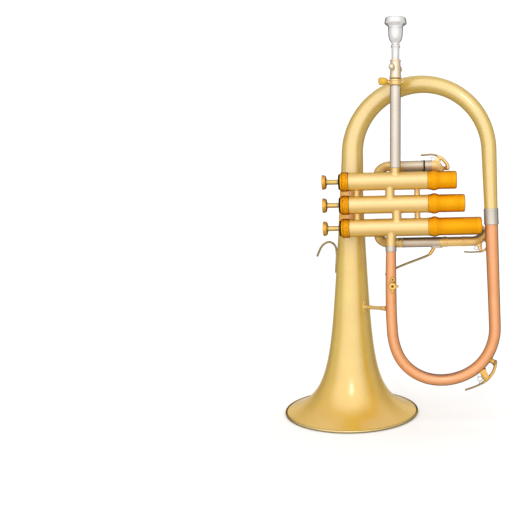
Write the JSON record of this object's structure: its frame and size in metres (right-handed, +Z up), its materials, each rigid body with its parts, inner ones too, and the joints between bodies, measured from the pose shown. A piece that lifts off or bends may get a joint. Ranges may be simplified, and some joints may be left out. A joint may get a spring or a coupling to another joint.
{
  "type": "flugelhorn",
  "caption": "Flugelhorn standing on its bell: conical brass tubing, rose-brass front bow, sprung piston valves, sliding mouthpipe, pull-out valve slides and water keys.",
  "frame": {"origin": "middle of the bounding box, on the plane the bell's rim stands on", "axes": "Z up along the bell's axis, X along the valves towards their bottom caps, Y away from the mouthpipe towards the bell"},
  "size_m": [0.2534, 0.16, 0.4579],
  "materials": {
    "yellow_brass": "satin lacquered yellow brass",
    "gold_trim": "bright gold lacquer on valve caps, buttons and screws",
    "rose_brass": "satin lacquered rose brass",
    "nickel_silver": "polished nickel silver",
    "silver_plate": "bright silver plate",
    "black_felt": "pressed felt",
    "spring_steel": "bare spring wire"
  },
  "bodies": {
    "horn_body": {"bell": "yellow_brass", "bell_bow": "yellow_brass", "exit_knuckle": "yellow_brass", "valve_casing_1": "yellow_brass", "valve_casing_2": "yellow_brass", "valve_casing_3": "yellow_brass", "entry_knuckle": "yellow_brass", "port_tube_12": "yellow_brass", "port_tube_23": "yellow_brass", "casing_brace_12_button_end": "yellow_brass", "casing_brace_12_cap_end": "yellow_brass", "casing_brace_23_button_end": "yellow_brass", "casing_brace_23_cap_end": "yellow_brass", "clamp_ring": "yellow_brass", "bell_brace": "yellow_brass", "valve_bell_brace": "yellow_brass", "pinky_hook": "yellow_brass", "lyre_socket": "yellow_brass", "slide_1_tube_near": "yellow_brass", "slide_1_tube_far": "yellow_brass", "slide_2_tube_left": "yellow_brass", "slide_2_tube_right": "yellow_brass", "slide_3_tube_near": "yellow_brass", "slide_3_tube_far": "yellow_brass", "main_key_saddle": "yellow_brass", "top_cap_1": "gold_trim", "top_cap_2": "gold_trim", "top_cap_3": "gold_trim", "bottom_cap_1": "gold_trim", "bottom_cap_2": "gold_trim", "bottom_cap_3": "gold_trim", "front_bow": "rose_brass", "bow_ferrule": "nickel_silver", "front_bow_ferrule": "nickel_silver", "leadpipe_outer_tube": "nickel_silver", "cap_felt_1": "black_felt", "cap_felt_2": "black_felt", "cap_felt_3": "black_felt", "valve_spring_1": "spring_steel", "valve_spring_2": "spring_steel", "valve_spring_3": "spring_steel"},
    "valve_1": {"piston_1": "nickel_silver", "finger_button_1": "gold_trim"},
    "valve_2": {"piston_2": "nickel_silver", "finger_button_2": "gold_trim"},
    "valve_3": {"piston_3": "nickel_silver", "finger_button_3": "gold_trim"},
    "mouthpipe_slide": {"leadpipe_inner_tube": "nickel_silver", "mouthpiece_receiver": "yellow_brass"},
    "mouthpiece_unit": {"mouthpiece": "silver_plate"},
    "clamp_screw_unit": {"clamp_screw": "gold_trim"},
    "first_slide": {"slide_1_bow": "yellow_brass", "slide_1_key_saddle": "yellow_brass"},
    "first_slide_key": {"slide_1_water_key": "yellow_brass"},
    "second_slide": {"slide_2_bow": "yellow_brass"},
    "third_slide": {"slide_3_bow": "yellow_brass", "slide_3_finger_hook": "yellow_brass", "slide_3_key_saddle": "yellow_brass"},
    "third_slide_key": {"slide_3_water_key": "yellow_brass"},
    "main_key": {"main_water_key": "yellow_brass"}
  },
  "joints": [
    {"name": "valve_1_press", "type": "slide", "parent": "horn_body", "child": "valve_1", "axis": [0.9997, 0, 0.0236], "range_m": [0, 0.0125], "stiffness_N_per_m": 80, "springref_m": -0.03, "deforming": ["valve_spring_1"]},
    {"name": "valve_2_press", "type": "slide", "parent": "horn_body", "child": "valve_2", "axis": [0.9997, 0, 0.0236], "range_m": [0, 0.0125], "stiffness_N_per_m": 80, "springref_m": -0.03, "deforming": ["valve_spring_2"]},
    {"name": "valve_3_press", "type": "slide", "parent": "horn_body", "child": "valve_3", "axis": [0.9997, 0, 0.0236], "range_m": [0, 0.0125], "stiffness_N_per_m": 80, "springref_m": -0.03, "deforming": ["valve_spring_3"]},
    {"name": "mouthpipe_pull", "type": "slide", "parent": "horn_body", "child": "mouthpipe_slide", "axis": [0, 0, 1], "range_m": [0, 0.02]},
    {"name": "mouthpiece_pull", "type": "slide", "parent": "mouthpipe_slide", "child": "mouthpiece_unit", "axis": [0, 0, 1], "range_m": [0, 0.022]},
    {"name": "clamp_screw_turn", "type": "hinge", "parent": "horn_body", "child": "clamp_screw_unit", "pos_m": [0.00556, -0.038, 0.3876], "axis": [1, 0, 0], "range_deg": [0, 180]},
    {"name": "first_slide_pull", "type": "slide", "parent": "horn_body", "child": "first_slide", "axis": [0.9997, 0, 0.0236], "range_m": [0, 0.016]},
    {"name": "second_slide_pull", "type": "slide", "parent": "horn_body", "child": "second_slide", "axis": [0, 1, 0], "range_m": [0, 0.01]},
    {"name": "third_slide_pull", "type": "slide", "parent": "horn_body", "child": "third_slide", "axis": [0.9997, 0, 0.0236], "range_m": [0, 0.03]},
    {"name": "first_slide_key_press", "type": "hinge", "parent": "first_slide", "child": "first_slide_key", "pos_m": [0.05576, -0.016, 0.3036], "axis": [0, -1, 0], "range_deg": [0, 10], "stiffness_Nm_per_rad": 0.06, "springref_deg": -17.19},
    {"name": "third_slide_key_press", "type": "hinge", "parent": "third_slide", "child": "third_slide_key", "pos_m": [0.10446, -0.0202, 0.199], "axis": [0, 1, 0], "range_deg": [0, 11], "stiffness_Nm_per_rad": 0.06, "springref_deg": -17.19},
    {"name": "main_key_press", "type": "hinge", "parent": "horn_body", "child": "main_key", "pos_m": [0.11136, -0.038, 0.051], "axis": [0, 1, 0], "range_deg": [0, 11], "stiffness_Nm_per_rad": 0.08, "springref_deg": -17.19}
  ]
}
